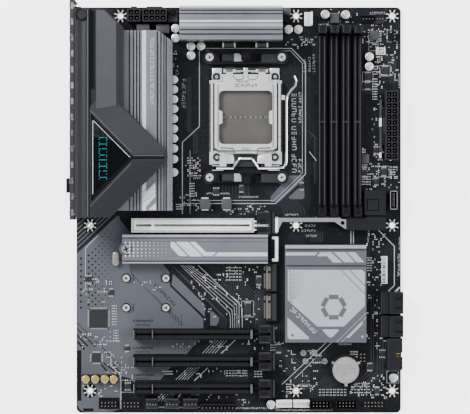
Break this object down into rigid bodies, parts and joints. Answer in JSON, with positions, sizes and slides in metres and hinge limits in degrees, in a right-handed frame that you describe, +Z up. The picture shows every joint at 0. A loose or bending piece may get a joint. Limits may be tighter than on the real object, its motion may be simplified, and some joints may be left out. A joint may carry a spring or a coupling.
{
  "type": "computer motherboard",
  "caption": "Full-size ATX desktop motherboard with a lever-locked processor socket, memory and expansion slots with latches, heatsinks, rear port block and power inlets.",
  "frame": {"origin": "middle of the bounding box in X and Y, on the surface that the board lies on", "axes": "+X towards the drive ports, +Y towards the processor power inlets, +Z up through the components"},
  "size_m": [0.25, 0.307, 0.0445],
  "materials": {
    "laminate": "satin",
    "black_plastic": "matte",
    "latch_plastic": "matte",
    "cover_plastic": "satin",
    "grey_plastic": "matte",
    "socket_plastic": "matte",
    "slot_ivory": "satin",
    "smoked_window": "gloss",
    "silver": "satin",
    "bright_steel": "satin",
    "dark_steel": "satin",
    "chrome": "polished",
    "nickel": "satin",
    "shield_metal": "satin"
  },
  "bodies": {
    "board_assembly": {"pcb": "laminate", "socket_backplate": "dark_steel", "socket_housing": "socket_plastic", "socket_frame": "bright_steel", "cooler_bracket_upper": "black_plastic", "cooler_bracket_lower": "black_plastic", "cooler_bolt_1": "chrome", "cooler_bolt_2": "chrome", "cooler_bolt_3": "chrome", "cooler_bolt_4": "chrome", "vrm_heatsink_left": "silver", "vrm_heatsink_top": "silver", "io_cover": "cover_plastic", "io_cover_rail": "cover_plastic", "io_display_window": "smoked_window", "io_shield": "shield_metal", "usb_ports_rear": "nickel", "usb_ports_fast": "nickel", "lan_usb_ports": "nickel", "video_ports": "nickel", "audio_jacks": "black_plastic", "antenna_socket": "black_plastic", "dimm_slot_1": "black_plastic", "dimm_slot_2": "black_plastic", "dimm_slot_3": "black_plastic", "dimm_slot_4": "black_plastic", "pcie_slot_1": "slot_ivory", "pcie_slot_2": "black_plastic", "pcie_slot_3": "black_plastic", "pcie_slot_4": "black_plastic", "pcie_slot_1_armour": "bright_steel", "release_housing": "latch_plastic", "m2_heatsink": "silver", "m2_connector_1": "slot_ivory", "m2_connector_2": "grey_plastic", "m2_connector_3": "grey_plastic", "chipset_heatsink": "silver", "atx_power_inlet": "black_plastic", "cpu_power_inlet_8": "black_plastic", "cpu_power_inlet_4": "black_plastic", "sata_ports_upper": "grey_plastic", "sata_ports_lower": "grey_plastic", "front_usb_socket": "grey_plastic", "front_usb_c_socket": "nickel", "cell_holder": "black_plastic", "coin_cell": "bright_steel"},
    "socket_load_plate_body": {"socket_load_plate": "bright_steel"},
    "socket_lever_body": {"socket_lever": "chrome"},
    "release_button_body": {"release_button": "latch_plastic"},
    "release_rod_body": {"release_rod": "chrome"},
    "m2_captive_screw_body": {"m2_captive_screw": "chrome"},
    "flash_button_body": {"flash_button": "black_plastic"},
    "dimm_latch_1_body": {"dimm_latch_1": "latch_plastic"},
    "dimm_latch_2_body": {"dimm_latch_2": "latch_plastic"},
    "dimm_latch_3_body": {"dimm_latch_3": "latch_plastic"},
    "dimm_latch_4_body": {"dimm_latch_4": "latch_plastic"},
    "pcie_latch_1_body": {"pcie_latch_1": "latch_plastic"},
    "pcie_latch_2_body": {"pcie_latch_2": "latch_plastic"},
    "pcie_latch_3_body": {"pcie_latch_3": "latch_plastic"},
    "pcie_latch_4_body": {"pcie_latch_4": "latch_plastic"}
  },
  "joints": [
    {"name": "load_plate_hinge", "type": "hinge", "parent": "board_assembly", "child": "socket_load_plate_body", "pos_m": [0.00765, 0.10315, 0.0097], "axis": [-1, 0, 0], "range_deg": [0, 109]},
    {"name": "lever_hinge", "type": "hinge", "parent": "board_assembly", "child": "socket_lever_body", "pos_m": [0.00765, 0.03045, 0.0075], "axis": [1, 0, 0], "range_deg": [0, 105]},
    {"name": "release_button_press", "type": "slide", "parent": "board_assembly", "child": "release_button_body", "axis": [0, 0, -1], "range_m": [0, 0.003], "stiffness_N_per_m": 500},
    {"name": "release_rod_slide", "type": "slide", "parent": "board_assembly", "child": "release_rod_body", "axis": [1, 0, 0], "range_m": [0, 0.003]},
    {"name": "pcie_latch_1_hinge", "type": "hinge", "parent": "board_assembly", "child": "pcie_latch_1_body", "pos_m": [0.02265, -0.01248, 0.0097], "axis": [0, 1, 0], "range_deg": [0, 24]},
    {"name": "pcie_latch_2_hinge", "type": "hinge", "parent": "board_assembly", "child": "pcie_latch_2_body", "pos_m": [0.02265, -0.09376, 0.0097], "axis": [0, 1, 0], "range_deg": [0, 24]},
    {"name": "pcie_latch_3_hinge", "type": "hinge", "parent": "board_assembly", "child": "pcie_latch_3_body", "pos_m": [0.02265, -0.11408, 0.0097], "axis": [0, 1, 0], "range_deg": [0, 24]},
    {"name": "pcie_latch_4_hinge", "type": "hinge", "parent": "board_assembly", "child": "pcie_latch_4_body", "pos_m": [0.02265, -0.1344, 0.0097], "axis": [0, 1, 0], "range_deg": [0, 24]},
    {"name": "dimm_latch_1_hinge", "type": "hinge", "parent": "board_assembly", "child": "dimm_latch_1_body", "pos_m": [0.06465, 0.13335, 0.0081], "axis": [-1, 0, 0], "range_deg": [0, 30]},
    {"name": "dimm_latch_2_hinge", "type": "hinge", "parent": "board_assembly", "child": "dimm_latch_2_body", "pos_m": [0.07352, 0.13335, 0.0081], "axis": [-1, 0, 0], "range_deg": [0, 30]},
    {"name": "dimm_latch_3_hinge", "type": "hinge", "parent": "board_assembly", "child": "dimm_latch_3_body", "pos_m": [0.08239, 0.13335, 0.0081], "axis": [-1, 0, 0], "range_deg": [0, 30]},
    {"name": "dimm_latch_4_hinge", "type": "hinge", "parent": "board_assembly", "child": "dimm_latch_4_body", "pos_m": [0.09126, 0.13335, 0.0081], "axis": [-1, 0, 0], "range_deg": [0, 30]},
    {"name": "captive_screw_spin", "type": "hinge", "parent": "board_assembly", "child": "m2_captive_screw_body", "pos_m": [-0.08155, -0.03025, 0.0145], "axis": [0, 0, 1], "continuous": true},
    {"name": "flash_button_press", "type": "slide", "parent": "board_assembly", "child": "flash_button_body", "axis": [1, 0, 0], "range_m": [0, 0.001], "stiffness_N_per_m": 800}
  ],
  "couplings": [
    {"joint": "release_rod_slide", "follows": "release_button_press", "ratio": 1},
    {"joint": "pcie_latch_1_hinge", "follows": "release_button_press", "rad_per_m": 139}
  ]
}
